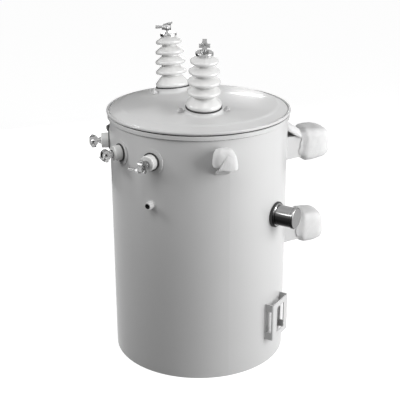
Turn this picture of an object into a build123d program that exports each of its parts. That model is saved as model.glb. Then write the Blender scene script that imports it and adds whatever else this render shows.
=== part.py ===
from build123d import *
import os
from math import cos, radians, sin, sqrt

# Pole mounted distribution transformer, in millimetres. +Z is up and the origin is the
# centre of the tank's underside. The low voltage bushings face -Y, the pole stands on
# the +Y side. Angles round the tank are counted from -Y towards +X.

# Tank
TANK_R = 250.0          # outside radius of the wall
RIM_Z = 711.0           # top edge of the wall
WALL = 3.0              # sheet of the wall, the bottom and the cover
GAP = 0.3               # clearance between faces that seat on each other
BAND_H = 11.5           # stiffening band under the rim
BAND_T = 4.5
BAND_ROUND = 1.5
SEAL_T = 3.5            # cover gasket
SEAL_LIP = 1.0          # how far it shows past the wall

# Cover, pressed from one sheet
RIM_OVER = 7.5          # how far its rolled rim stands out over the wall
BEAD_H = 8.75
BEAD_W = 5.9
GROOVE_W = 2.0
PLATEAU_IN = 26.0       # from the wall to the plateau's corner
PLATEAU_H = 19.0
CORNER_W = 10.0         # width of the plateau's rounded corner
DOME_H = 16.5
LIP_IN = 6.0            # from the wall to the inside of the rolled rim
COVER_TURN = 2.2        # the cover sits a little round from the wall's fittings

# High voltage bushings on the cover
HV_ANGLES = {"right": COVER_TURN + 75.0, "left": COVER_TURN - 75.0}
HV_AIM = {"right": 71.0, "left": -19.0}     # where each terminal's clamp bolt points
HV_TILT = 7.2
HV_INSET = 98.0         # from the plateau's corner to the bushing's centre
HV_STAND = 13.5         # height of its base over the dome
HV_SKIRT_R = 48.0
HV_SKIRT_H = 13.0
HV_SHED_R = [45.0, 43.8, 41.2, 37.6]
HV_FIRST = 41.5         # height of the lowest shed
HV_PITCH = 28.2
HV_LIP_T = 11.5         # thickness of a shed's rounded lip
HV_WAIST = 17.5         # how far the waists lie inside the sheds
HV_WAIST_ROUND = 3.5
HV_CROWN = 16.0         # from the top shed to the porcelain's top
HV_SHANK_R = 29.0
HV_SHANK_L = 38.5       # below its base
HV_HOLE_GAP = 1.0
HV_SEAL_T = 3.0
HV_SEAT_OVER = 2.0      # the pressed seat is this much wider than the skirt
HV_FLARE = 8.0
HV_CAP_R = 23.5
HV_CAP_H = 8.0
HV_CAP_ROUND = 2.5

# Their terminals
HV_STUD_R = 5.5
HV_STUD_H = 17.0        # from the cap's top to the middle of the clamp barrel
HV_NUT_R = 11.0
HV_NUT_H = 4.5
HV_BARREL_R = 9.0
HV_BARREL_L = 18.0
HV_EYE_R = 4.0
HV_JAM_R = 8.5
HV_JAM_H = 8.0
HV_BOLT_R = 3.2
HV_BOLT_L = 6.0
HV_TIP_R = 4.6
HV_TIP_L = 12.0
HV_SHOE = (27.0, 12.0, 3.5)
HV_SHOE_TILT = 16.0

# Hold-down studs beside them
CLAMP_OUT = 15.5        # from the porcelain's skirt to the stud
CLAMP_W = 14.0
CLAMP_T = 3.5
CLAMP_LIFT = 1.0        # the flat plate just clears the dome's curve
CLAMP_NUT_R = 7.0
CLAMP_NUT_H = 5.5
CLAMP_STUD_R = 3.3
CLAMP_STUD_H = 3.0

# Low voltage bushings on the front of the wall
LV_COUNT = 3
LV_STEP = 27.5
LV_FIRST = -13.75       # angle of the first one
LV_DROP = 78.0          # below the rim
LV_BOSS_R = 35.5
LV_BOSS_OUT = 1.0
LV_SEAL_R = 24.6
LV_SEAL_T = 3.5
LV_R = 21.3
LV_L = 20.0
LV_ROUND = 3.0
LV_SHANK_R = 14.5
LV_SHANK_L = 26.0
LV_HOLE_GAP = 1.0
LV_NECK_R = 6.5
LV_NECK_L = 9.5
LV_WASHER_R = 10.5
LV_WASHER_T = 2.5
LV_BODY_L = 24.0        # the eye's flat body
LV_BODY_H = 28.0
LV_BODY_T = 14.0
LV_BODY_ROUND = 10.0
LV_EYE_R = 5.0
LV_EYE_AT = 14.5        # from the body's root to its hole
LV_SCREW_AT = 11.5      # clamp screw from below
LV_SCREW_R = 7.0
LV_SCREW_H = 4.5
LV_BOLT_AT = 14.0       # bolt across the body, under the hole
LV_BOLT_DROP = 12.0
LV_BOLT_R = 4.0
LV_BOLT_TAILS = [26.0, 26.0, 40.0]  # how far each one stands past its nut side
LV_HEAD_R = 6.0
LV_HEAD_H = 5.0
LV_NUT_R = 6.8
LV_NUT_H = 8.0

# Ground lug where a fourth bushing would be, a bent strap
GROUND_ANGLE = -41.25
GROUND_DROP = 71.0      # from the rim to its top
GROUND_H = 58.0
GROUND_W = 24.0
GROUND_T = 5.0
GROUND_OUT = 38.0

# Pipe stub
PIPE_ANGLE = 40.6
PIPE_DROP = 198.5
PIPE_R = 10.6
PIPE_BORE_R = 7.2
PIPE_OUT = 20.0
PIPE_IN = 4.0           # past the sheet, inside the tank

# Tap changer
TAP_ANGLE = 129.4
TAP_DROP = 261.0
TAP_HOLE_R = 14.0
TAP_SEAL_R = 36.0
TAP_SEAL_OUT = 5.0
TAP_FLANGE_R = 33.5
TAP_FLANGE_T = 5.0
TAP_FLANGE_BEVEL = 1.2
TAP_R = 28.5
TAP_L = 54.0
TAP_LIP_OUT = 2.0
TAP_LIP_W = 8.0
TAP_LIP_ROUND = 4.0

# Slotted bracket
BRACKET_ANGLE = 130.2
BRACKET_LOW = 78.5
BRACKET_H = 111.0
BRACKET_W = 94.0
BRACKET_OUT = 21.5
BRACKET_T = 3.0
BRACKET_BEND = 4.5
BRACKET_SLOT = (44.0, 79.0)
BRACKET_WINDOW = (17.0, 68.0)
BRACKET_WINDOW_IN = 5.5     # from the face to the windows

# Lifting lugs
LIFT_ANGLES = {"right": 85.0, "left": -85.0}
LIFT_DROP = 40.0
LIFT_H = 70.0
LIFT_W = 36.0
LIFT_T = 8.0
LIFT_OUT = 34.0
LIFT_RAMP = 26.0        # height over which the strap leaves the wall
LIFT_BEND = 10.0

# Pole lugs
LUG_DROP = 123.5        # from the rim to the middle of the upper lug's face plate
LUG_SPACING = 261.5
LUG_FACE_H = 70.0
LUG_W = 70.0
LUG_T = 6.0
LUG_OUT = 119.5
LUG_ROOT_UP = 32.0      # the cheeks rise to the wall by this over the face plate
LUG_ROOT_DOWN = 7.0
LUG_SLOT_R = 9.0
LUG_SLOT_L = 46.0
LUG_NOTCH = (38.0, 22.0)    # three-sided window under the slope
LUG_NOTCH_IN = 9.0

# Foam wrapped round the lugs
FOAM_T = 10.0           # round the pole lugs
FOAM_REACH = 77.0
FOAM_ROUND = 11.0
HOOD_T = 9.0            # round the lifting lugs
HOOD_H = 49.0

os.makedirs("parts", exist_ok=True)

cover_z = RIM_Z + SEAL_T
plateau_z = cover_z + PLATEAU_H
dome_top_z = plateau_z + DOME_H
corner_r = TANK_R - PLATEAU_IN
hv_top = HV_FIRST + HV_PITCH * (len(HV_SHED_R) - 1) + HV_CROWN
UP = Vector(0, 0, 1)
BASE = (Align.CENTER, Align.CENTER, Align.MIN)


def outward(angle):
    """Direction away from the tank's axis at an angle round it."""
    return Vector(sin(radians(angle)), -cos(radians(angle)), 0)


def sideways(angle):
    """Level direction along the wall, towards growing angles."""
    return Vector(cos(radians(angle)), sin(radians(angle)), 0)


def wall_plane(angle, radius, height):
    """Plane facing outwards, its x level and its y upwards."""
    return Plane(origin=outward(angle) * radius + UP * height,
                 x_dir=sideways(angle), z_dir=outward(angle))


def dome_z(radius, below=0.0):
    """Height of the dome, part of a sphere, at a radius, or of a face below its top."""
    sphere = (corner_r**2 + DOME_H**2) / (2 * DOME_H)
    return dome_top_z - sphere + sqrt((sphere - below) ** 2 - radius**2)


def hv_plane(angle):
    """Plane of a high voltage bushing's base, leaning outwards on the cover."""
    radius = corner_r - HV_INSET
    lean = radians(HV_TILT)
    base = outward(angle) * radius + UP * (dome_z(radius) + HV_STAND)
    return Plane(origin=base, x_dir=sideways(angle),
                 z_dir=outward(angle) * sin(lean) + UP * cos(lean))


def turning(plane):
    """Plane through a turned piece's axis: x is the radius, y runs along the axis."""
    return Plane(origin=plane.origin, x_dir=plane.x_dir,
                 z_dir=plane.x_dir.cross(plane.z_dir))


def axis_of(plane):
    return Axis(plane.origin, plane.z_dir)


def outer_face(piece, plane):
    """The face that lies furthest along a plane's normal."""
    return piece.faces().sort_by(axis_of(plane))[-1]


def write(piece, name):
    piece.label = name
    export_step(piece, f"parts/{name}.step")


def bent_strap(angle, low, height, width, thick, out, ramp, bend):
    """Strap that leaves the wall at its foot, then stands upright, clear of the wall."""
    middle = TANK_R + out - thick / 2
    across = sideways(angle)
    with BuildPart() as strap:
        with BuildSketch(Plane(origin=across * (width / 2), x_dir=outward(angle),
                               z_dir=across * -1)):
            with BuildLine():
                FilletPolyline((TANK_R - 2 * thick, low), (middle, low + ramp),
                               (middle, low + height), radius=bend)
            trace(line_width=thick)
        extrude(amount=width)
        Cylinder(TANK_R + GAP, RIM_Z, align=BASE, mode=Mode.SUBTRACT)
    return strap.part


# Tank wall: a rolled sheet with a flat pressed seat for each low voltage bushing
lv_z = RIM_Z - LV_DROP
lv_angles = [LV_FIRST + place * LV_STEP for place in range(LV_COUNT)]
pipe_z = RIM_Z - PIPE_DROP
tap_z = RIM_Z - TAP_DROP
holes = [(angle, lv_z, LV_SHANK_R + LV_HOLE_GAP) for angle in lv_angles]
holes += [(TAP_ANGLE, tap_z, TAP_HOLE_R), (PIPE_ANGLE, pipe_z, PIPE_R + GAP)]

with BuildPart() as tank_shell:
    Cylinder(TANK_R, RIM_Z, align=BASE)
    for angle in lv_angles:
        with BuildSketch(wall_plane(angle, TANK_R + LV_BOSS_OUT, lv_z)):
            Circle(LV_BOSS_R)
        extrude(amount=-4 * WALL)
    Cylinder(TANK_R - WALL, RIM_Z, align=BASE, mode=Mode.SUBTRACT)
    for angle, height, radius in holes:
        with BuildSketch(wall_plane(angle, TANK_R - 10 * WALL, height)):
            Circle(radius)
        extrude(amount=12 * WALL, mode=Mode.SUBTRACT)
write(tank_shell.part, "tank_shell")

with BuildPart() as tank_bottom:
    Cylinder(TANK_R - WALL - GAP, WALL, align=BASE)
write(tank_bottom.part, "tank_bottom")

# Band that stiffens the wall under its rim
with BuildPart() as rim_band:
    with BuildSketch(Plane.XZ):
        with Locations((TANK_R + GAP, RIM_Z - BAND_H)):
            Rectangle(BAND_T, BAND_H, align=(Align.MIN, Align.MIN))
    revolve(axis=Axis.Z)
    rims = rim_band.edges().filter_by(GeomType.CIRCLE).sort_by(SortBy.RADIUS)
    fillet(rims[-2:], BAND_ROUND)
write(rim_band.part, "rim_band")

with BuildPart() as cover_gasket:
    with BuildSketch(Plane.XY.offset(RIM_Z)):
        Circle(TANK_R + SEAL_LIP)
        Circle(TANK_R - WALL, mode=Mode.SUBTRACT)
    extrude(amount=SEAL_T)
write(cover_gasket.part, "cover_gasket")

# Cover: a rolled rim, a groove, a slope up to the plateau's rounded corner, a low dome
with BuildPart() as cover:
    rim_r = TANK_R + RIM_OVER
    bead_r = rim_r - BEAD_W
    groove_r = bead_r - GROOVE_W
    groove_z = cover_z + BEAD_H / 2
    bead_z = cover_z + BEAD_H
    shoulder = corner_r - 0.8 * CORNER_W
    slope_r = corner_r + 0.2 * CORNER_W
    half = corner_r / 2
    seat_r = HV_SKIRT_R + HV_SEAT_OVER
    with BuildSketch(Plane.XZ):
        with BuildLine():
            ThreePointArc((0, dome_z(0)), (half, dome_z(half)), (shoulder, dome_z(shoulder)))
            ThreePointArc((shoulder, dome_z(shoulder)),
                          (corner_r - 0.2 * CORNER_W, plateau_z - 0.07 * CORNER_W),
                          (slope_r, plateau_z - 0.34 * CORNER_W))
            Polyline((slope_r, plateau_z - 0.34 * CORNER_W),
                     (groove_r - GROOVE_W, bead_z - 0.12 * BEAD_H), (groove_r, groove_z),
                     (bead_r - 0.4 * GROOVE_W, groove_z), (bead_r, bead_z - 0.11 * BEAD_H))
            ThreePointArc((bead_r, bead_z - 0.11 * BEAD_H),
                          (bead_r + 0.63 * BEAD_W, bead_z - 0.08 * BEAD_H),
                          (rim_r, groove_z))
            ThreePointArc((rim_r, groove_z), (rim_r - 0.15 * BEAD_W, cover_z + 0.14 * BEAD_H),
                          (rim_r - 0.54 * BEAD_W, cover_z))
            Polyline((rim_r - 0.54 * BEAD_W, cover_z), (0, cover_z), (0, dome_z(0)))
        make_face()
    revolve(axis=Axis.Z)
    # Seats for the high voltage bushings: they lean out and flare into the cover
    for angle in HV_ANGLES.values():
        seat = hv_plane(angle).offset(-HV_SEAL_T)
        with BuildSketch(seat):
            Circle(seat_r)
        extrude(amount=-2 * HV_STAND)
        bend = cover.edges().filter_by(GeomType.BSPLINE).sort_by_distance(seat.origin)[0]
        fillet(bend, HV_FLARE)
    # The underside follows the top at the sheet's thickness
    with BuildSketch(Plane.XZ):
        with BuildLine():
            lip_r = TANK_R - LIP_IN
            Polyline((0, dome_z(0, WALL)), (0, 0), (lip_r, 0), (lip_r, cover_z),
                     (corner_r - WALL / 3, plateau_z - 2.2 * WALL),
                     (shoulder, dome_z(shoulder, WALL)))
            ThreePointArc((shoulder, dome_z(shoulder, WALL)), (half, dome_z(half, WALL)),
                          (0, dome_z(0, WALL)))
        make_face()
    revolve(axis=Axis.Z, mode=Mode.SUBTRACT)
    for angle in HV_ANGLES.values():
        seat = hv_plane(angle)
        with BuildSketch(seat.offset(-HV_SEAL_T - WALL)):
            Circle(seat_r - WALL)
        extrude(amount=-2 * HV_STAND, mode=Mode.SUBTRACT)
        with BuildSketch(seat):
            Circle(HV_SHANK_R + HV_HOLE_GAP)
        extrude(amount=-HV_SEAL_T - 3 * WALL, mode=Mode.SUBTRACT)
write(cover.part, "cover")

# High voltage bushings: rubber ring, ribbed porcelain, metal cap and clamp terminal
for side, angle in HV_ANGLES.items():
    base = hv_plane(angle)

    with BuildPart() as hv_gasket:
        with BuildSketch(base.offset(-HV_SEAL_T)):
            Circle(HV_SKIRT_R + HV_SEAT_OVER / 2)
            Circle(HV_SHANK_R + HV_HOLE_GAP, mode=Mode.SUBTRACT)
        extrude(amount=HV_SEAL_T)
    write(hv_gasket.part, f"hv_gasket_{side}")

    # Each shed slopes down from the waist above it to a rounded, drooping lip
    with BuildPart() as hv_porcelain:
        with BuildSketch(turning(base)):
            with BuildLine():
                soft = HV_WAIST_ROUND
                skirt_in = HV_SKIRT_R - soft
                Polyline((0, -HV_SHANK_L), (HV_SHANK_R, -HV_SHANK_L), (HV_SHANK_R, 0),
                         (HV_SKIRT_R - soft / 2, 0))
                ThreePointArc((HV_SKIRT_R - soft / 2, 0), (HV_SKIRT_R, HV_SKIRT_H / 2),
                              (skirt_in, HV_SKIRT_H))
                at = (skirt_in, HV_SKIRT_H)
                for count, lip in enumerate(HV_SHED_R):
                    level = HV_FIRST + HV_PITCH * count
                    waist = lip - HV_WAIST
                    under = level - 0.55 * HV_LIP_T
                    Line(at, (waist + soft, under - 2 * soft))
                    ThreePointArc((waist + soft, under - 2 * soft), (waist, under - soft),
                                  (waist + soft, under))
                    Line((waist + soft, under), (lip - 0.45 * HV_LIP_T, under))
                    ThreePointArc((lip - 0.45 * HV_LIP_T, under), (lip, level - 0.05 * HV_LIP_T),
                                  (lip - 0.35 * HV_LIP_T, level + 0.45 * HV_LIP_T))
                    at = (lip - 0.35 * HV_LIP_T, level + 0.45 * HV_LIP_T)
                crown_r = HV_CAP_R - 3
                Polyline(at, (crown_r, hv_top - 3), (crown_r, hv_top), (0, hv_top),
                         (0, -HV_SHANK_L))
            make_face()
        revolve(axis=axis_of(base))
    write(hv_porcelain.part, f"hv_porcelain_{side}")

    crown = base.offset(hv_top)
    foot = crown.offset(HV_CAP_H)
    with BuildPart() as hv_cap:
        with BuildSketch(crown):
            Circle(HV_CAP_R)
        extrude(amount=HV_CAP_H)
        fillet(outer_face(hv_cap, crown).edges(), HV_CAP_ROUND)
        with BuildSketch(foot):
            RegularPolygon(HV_NUT_R, 6)
        extrude(amount=HV_NUT_H)
    write(hv_cap.part, f"hv_cap_{side}")

    # Stud, clamp barrel, its nut, bolt and tip, and the tilted shoe over the barrel
    aim = outward(HV_AIM[side])
    middle = foot.offset(HV_STUD_H).origin
    barrel = Plane(origin=middle - aim * (HV_BARREL_L / 2), z_dir=aim)
    with BuildPart() as hv_terminal:
        with BuildSketch(foot.offset(HV_NUT_H)):
            Circle(HV_STUD_R)
        extrude(amount=HV_STUD_H - HV_NUT_H)
        with BuildSketch(barrel):
            Circle(HV_BARREL_R)
        extrude(amount=HV_BARREL_L)
        with BuildSketch(barrel.offset(HV_BARREL_L)):
            RegularPolygon(HV_JAM_R, 6)
        extrude(amount=HV_JAM_H)
        with BuildSketch(barrel.offset(HV_BARREL_L + HV_JAM_H)):
            Circle(HV_BOLT_R)
        extrude(amount=HV_BOLT_L)
        with BuildSketch(barrel.offset(HV_BARREL_L + HV_JAM_H + HV_BOLT_L)):
            Circle(HV_TIP_R)
        extrude(amount=HV_TIP_L)
        shoe = Plane(origin=middle + UP * HV_BARREL_R, x_dir=aim, z_dir=UP)
        with Locations(Location(shoe) * Location((0, 0, 0), (0, HV_SHOE_TILT, 0))):
            Box(*HV_SHOE)
        # Level hole across the barrel for the conductor
        with BuildSketch(Plane(origin=middle - aim * (HV_BARREL_L / 5), z_dir=aim.cross(UP))):
            Circle(HV_EYE_R)
        extrude(amount=2 * HV_BARREL_R, both=True, mode=Mode.SUBTRACT)
    write(hv_terminal.part, f"hv_terminal_{side}")

    # Hold-down studs beside the skirt, each with a washer plate and a nut
    with BuildPart() as hv_clamps:
        for way in (-1, 1):
            spot = base.origin + base.x_dir * (way * (HV_SKIRT_R + CLAMP_OUT))
            spot.Z = dome_z(sqrt(spot.X**2 + spot.Y**2))
            plate = Plane(origin=spot, x_dir=base.x_dir, z_dir=base.z_dir).offset(CLAMP_LIFT)
            with BuildSketch(plate):
                Rectangle(CLAMP_W, CLAMP_W)
            extrude(amount=CLAMP_T)
            with BuildSketch(plate.offset(CLAMP_T)):
                RegularPolygon(CLAMP_NUT_R, 6)
            extrude(amount=CLAMP_NUT_H)
            with BuildSketch(plate.offset(CLAMP_T + CLAMP_NUT_H)):
                Circle(CLAMP_STUD_R)
            extrude(amount=CLAMP_STUD_H)
    write(hv_clamps.part, f"hv_clamps_{side}")

# Low voltage bushings: rubber ring, short porcelain and eyebolt terminal
for number, (angle, tail) in enumerate(zip(lv_angles, LV_BOLT_TAILS), start=1):
    seat = wall_plane(angle, TANK_R + LV_BOSS_OUT, lv_z)

    with BuildPart() as lv_gasket:
        with BuildSketch(seat):
            Circle(LV_SEAL_R)
            Circle(LV_SHANK_R + LV_HOLE_GAP, mode=Mode.SUBTRACT)
        extrude(amount=LV_SEAL_T)
    write(lv_gasket.part, f"lv_gasket_{number}")

    tip = seat.offset(LV_SEAL_T + LV_L)
    with BuildPart() as lv_porcelain:
        with BuildSketch(seat.offset(LV_SEAL_T)):
            Circle(LV_R)
        extrude(amount=LV_L)
        fillet(outer_face(lv_porcelain, seat).edges(), LV_ROUND)
        with BuildSketch(seat.offset(LV_SEAL_T)):
            Circle(LV_SHANK_R)
        extrude(amount=-LV_SEAL_T - LV_SHANK_L)
    write(lv_porcelain.part, f"lv_porcelain_{number}")

    # Washer, neck and the flat eye body, its screw below and the bolt across it
    root = tip.offset(LV_NECK_L)
    side = Plane(origin=root.offset(LV_BODY_L / 2).origin, x_dir=tip.z_dir,
                 z_dir=tip.x_dir * -1)
    bolt_at = root.offset(LV_BOLT_AT).origin - UP * LV_BOLT_DROP
    bolt = Plane(origin=bolt_at, x_dir=tip.z_dir, z_dir=tip.x_dir * -1)
    screw_at = root.offset(LV_SCREW_AT).origin - UP * (LV_BODY_H / 2)
    with BuildPart() as lv_terminal:
        with BuildSketch(tip):
            Circle(LV_WASHER_R)
        extrude(amount=LV_WASHER_T)
        with BuildSketch(tip.offset(LV_WASHER_T)):
            Circle(LV_NECK_R)
        extrude(amount=LV_NECK_L - LV_WASHER_T + LV_BODY_L / 4)
        with BuildSketch(side):
            RectangleRounded(LV_BODY_L, LV_BODY_H, LV_BODY_ROUND)
        extrude(amount=LV_BODY_T / 2, both=True)
        with BuildSketch(Plane(origin=screw_at, z_dir=-UP)):
            RegularPolygon(LV_SCREW_R, 6)
        extrude(amount=LV_SCREW_H)
        with BuildSketch(bolt.offset(-LV_BODY_T / 2)):
            RegularPolygon(LV_HEAD_R, 6)
        extrude(amount=-LV_HEAD_H)
        with BuildSketch(bolt.offset(LV_BODY_T / 2)):
            RegularPolygon(LV_NUT_R, 6)
        extrude(amount=LV_NUT_H)
        with BuildSketch(bolt):
            Circle(LV_BOLT_R)
        extrude(amount=tail)
        # Level hole across the eye for the conductor
        with BuildSketch(side):
            with Locations((LV_EYE_AT - LV_BODY_L / 2, 0)):
                Circle(LV_EYE_R)
        extrude(amount=LV_BODY_T, both=True, mode=Mode.SUBTRACT)
    write(lv_terminal.part, f"lv_terminal_{number}")

ground_low = RIM_Z - GROUND_DROP - GROUND_H
ground_lug = bent_strap(GROUND_ANGLE, ground_low, GROUND_H, GROUND_W, GROUND_T, GROUND_OUT,
                        0.8 * GROUND_H, 2 * GROUND_T)
write(ground_lug, "ground_lug")

# Pipe stub through the wall, open at its mouth
mouth = wall_plane(PIPE_ANGLE, TANK_R + PIPE_OUT, pipe_z)
with BuildPart() as relief_pipe:
    with BuildSketch(mouth):
        Circle(PIPE_R)
        Circle(PIPE_BORE_R, mode=Mode.SUBTRACT)
    extrude(amount=-PIPE_OUT - WALL - PIPE_IN)
    fillet(outer_face(relief_pipe, mouth).edges(), (PIPE_R - PIPE_BORE_R) / 4)
write(relief_pipe.part, "relief_pipe")

# Tap changer: a rubber ring shaped to the wall, a flange and the turned cap
tap_seat = wall_plane(TAP_ANGLE, TANK_R + TAP_SEAL_OUT, tap_z)
with BuildPart() as tap_gasket:
    with BuildSketch(tap_seat):
        Circle(TAP_SEAL_R)
        Circle(TAP_HOLE_R, mode=Mode.SUBTRACT)
    extrude(amount=-TAP_SEAL_OUT - 4 * WALL)
    Cylinder(TANK_R + GAP, RIM_Z, align=BASE, mode=Mode.SUBTRACT)
write(tap_gasket.part, "tap_gasket")

with BuildPart() as tap_flange:
    with BuildSketch(tap_seat):
        Circle(TAP_FLANGE_R)
        Circle(TAP_HOLE_R, mode=Mode.SUBTRACT)
    extrude(amount=TAP_FLANGE_T)
    chamfer(outer_face(tap_flange, tap_seat).edges(), TAP_FLANGE_BEVEL)
write(tap_flange.part, "tap_flange")

with BuildPart() as tap_cap:
    with BuildSketch(turning(tap_seat.offset(TAP_FLANGE_T))):
        with BuildLine():
            lip_r = TAP_R + TAP_LIP_OUT
            end = TAP_L - TAP_LIP_ROUND
            Polyline((0, 0), (TAP_R, 0), (TAP_R, TAP_L - TAP_LIP_W - TAP_LIP_OUT),
                     (lip_r, TAP_L - TAP_LIP_W), (lip_r, end))
            ThreePointArc((lip_r, end), (lip_r - 0.3 * TAP_LIP_ROUND, TAP_L - 0.3 * TAP_LIP_ROUND),
                          (lip_r - TAP_LIP_ROUND, TAP_L))
            Polyline((lip_r - TAP_LIP_ROUND, TAP_L), (0, TAP_L), (0, 0))
        make_face()
    revolve(axis=axis_of(tap_seat))
write(tap_cap.part, "tap_cap")

# Slotted bracket: a bent channel with a window in each cheek and a tall slot in its face
with BuildPart() as slotted_bracket:
    front = wall_plane(BRACKET_ANGLE, TANK_R + BRACKET_OUT, BRACKET_LOW + BRACKET_H / 2)
    foot_r = sqrt(TANK_R**2 - (BRACKET_W / 2) ** 2)
    depth = TANK_R + BRACKET_OUT - foot_r
    with BuildSketch(front):
        Rectangle(BRACKET_W, BRACKET_H)
    extrude(amount=-depth)
    bends = outer_face(slotted_bracket, front).edges().filter_by(Axis.Z)
    fillet(bends, BRACKET_BEND)
    with BuildSketch(front.offset(-BRACKET_T)):
        Rectangle(BRACKET_W - 2 * BRACKET_T, BRACKET_H + 2)
    extrude(amount=-depth, mode=Mode.SUBTRACT)
    with BuildSketch(front.offset(1)):
        Rectangle(*BRACKET_SLOT)
    extrude(amount=-BRACKET_T - 2, mode=Mode.SUBTRACT)
    middle = front.offset(-BRACKET_WINDOW_IN - BRACKET_WINDOW[0] / 2).origin
    cheek = Plane(origin=middle - front.x_dir * BRACKET_W, x_dir=front.z_dir,
                  z_dir=front.x_dir)
    with BuildSketch(cheek):
        Rectangle(*BRACKET_WINDOW)
    extrude(amount=2 * BRACKET_W, mode=Mode.SUBTRACT)
    Cylinder(TANK_R + GAP, RIM_Z, align=BASE, mode=Mode.SUBTRACT)
write(slotted_bracket.part, "slotted_bracket")

# Lifting lugs: bent straps that rise away from the wall, each under a foam hood
for side, angle in LIFT_ANGLES.items():
    head = RIM_Z - LIFT_DROP
    strap = bent_strap(angle, head - LIFT_H, LIFT_H, LIFT_W, LIFT_T, LIFT_OUT, LIFT_RAMP,
                       LIFT_BEND)
    write(strap, f"lifting_lug_{side}")

    with BuildPart() as lifting_foam:
        hood_low = head + GAP + HOOD_T - HOOD_H
        hood = wall_plane(angle, TANK_R - HOOD_T, hood_low + HOOD_H / 2)
        with BuildSketch(hood):
            RectangleRounded(LIFT_W + 2 * HOOD_T, HOOD_H, HOOD_T)
        extrude(amount=LIFT_OUT + GAP + 2 * HOOD_T)
        fillet(outer_face(lifting_foam, hood).edges(), 0.8 * HOOD_T)
        # Pocket over the strap, open at the wall and below
        pocket_h = head + GAP - hood_low + HOOD_T
        with BuildSketch(wall_plane(angle, TANK_R - 2 * HOOD_T, head + GAP - pocket_h / 2)):
            Rectangle(LIFT_W + 2 * GAP, pocket_h)
        extrude(amount=LIFT_OUT + GAP + 2 * HOOD_T, mode=Mode.SUBTRACT)
        Cylinder(TANK_R + GAP, RIM_Z, align=BASE, mode=Mode.SUBTRACT)
    write(lifting_foam.part, f"lifting_foam_{side}")

# Pole lugs: two cheeks on the wall, a slotted face plate between them, foam round it
lug_face = TANK_R + LUG_OUT
foam_back = lug_face + GAP + FOAM_T - FOAM_REACH
for level, lug_z in (("upper", RIM_Z - LUG_DROP), ("lower", RIM_Z - LUG_DROP - LUG_SPACING)):
    low = lug_z - LUG_FACE_H / 2
    high = lug_z + LUG_FACE_H / 2
    with BuildPart() as support_lug:
        with BuildSketch(Plane.YZ.offset(-LUG_W / 2)):
            with BuildLine():
                Polyline((TANK_R - 2 * LUG_T, low - LUG_ROOT_DOWN), (foam_back - GAP, low),
                         (lug_face, low), (lug_face, high), (foam_back - GAP, high),
                         (TANK_R, high + LUG_ROOT_UP), (TANK_R - 2 * LUG_T, high + LUG_ROOT_UP),
                         close=True)
            make_face()
        extrude(amount=LUG_W)
        face_edges = support_lug.faces().sort_by(Axis.Y)[-1].edges().filter_by(Axis.Z)
        fillet(face_edges, LUG_T)
        with BuildSketch(Plane.YZ.offset(-LUG_W / 2 + LUG_T)):
            with Locations((lug_face - LUG_T, lug_z)):
                Rectangle(2 * LUG_OUT, 3 * LUG_FACE_H, align=(Align.MAX, Align.CENTER))
        extrude(amount=LUG_W - 2 * LUG_T, mode=Mode.SUBTRACT)
        # Three-sided window in each cheek, under the slope
        with BuildSketch(Plane.YZ.offset(-LUG_W)):
            with Locations((TANK_R + LUG_NOTCH_IN, high - LUG_T)):
                Polygon((0, 0), (LUG_NOTCH[0], 0), (0, LUG_NOTCH[1]), align=None)
        extrude(amount=2 * LUG_W, mode=Mode.SUBTRACT)
        with BuildSketch(Plane.XZ.offset(-lug_face - 1)):
            with Locations((0, lug_z)):
                SlotOverall(LUG_SLOT_L, 2 * LUG_SLOT_R, rotation=90)
        extrude(amount=LUG_T + 2, mode=Mode.SUBTRACT)
        Cylinder(TANK_R + GAP, RIM_Z, align=BASE, mode=Mode.SUBTRACT)
    write(support_lug.part, f"support_lug_{level}")

    with BuildPart() as support_foam:
        with BuildSketch(Plane.XZ.offset(-lug_face - GAP - FOAM_T)):
            with Locations((0, lug_z)):
                RectangleRounded(LUG_W + 2 * FOAM_T, LUG_FACE_H + 2 * GAP + 2 * FOAM_T,
                                 1.4 * FOAM_ROUND)
        extrude(amount=FOAM_REACH)
        fillet(support_foam.faces().sort_by(Axis.Y)[-1].edges(), FOAM_ROUND)
        with BuildSketch(Plane.XZ.offset(-lug_face - GAP)):
            with Locations((0, lug_z)):
                Rectangle(LUG_W + 2 * GAP, LUG_FACE_H + 2 * GAP)
        extrude(amount=FOAM_REACH, mode=Mode.SUBTRACT)
    write(support_foam.part, f"support_foam_{level}")
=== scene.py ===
# %% [markdown]
# # A pole mounted transformer
# The model comes in as a fixed frame: every steel, porcelain and rubber piece is already in
# place and at its real size. This script gives each one its finish, wraps the lugs in soft
# foam, adds the small things that a welder and a fitter leave behind, and lights the whole
# like a product picture on white.

import math

import bmesh
import bpy
import numpy as np
from mathutils import Matrix, Vector


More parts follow.
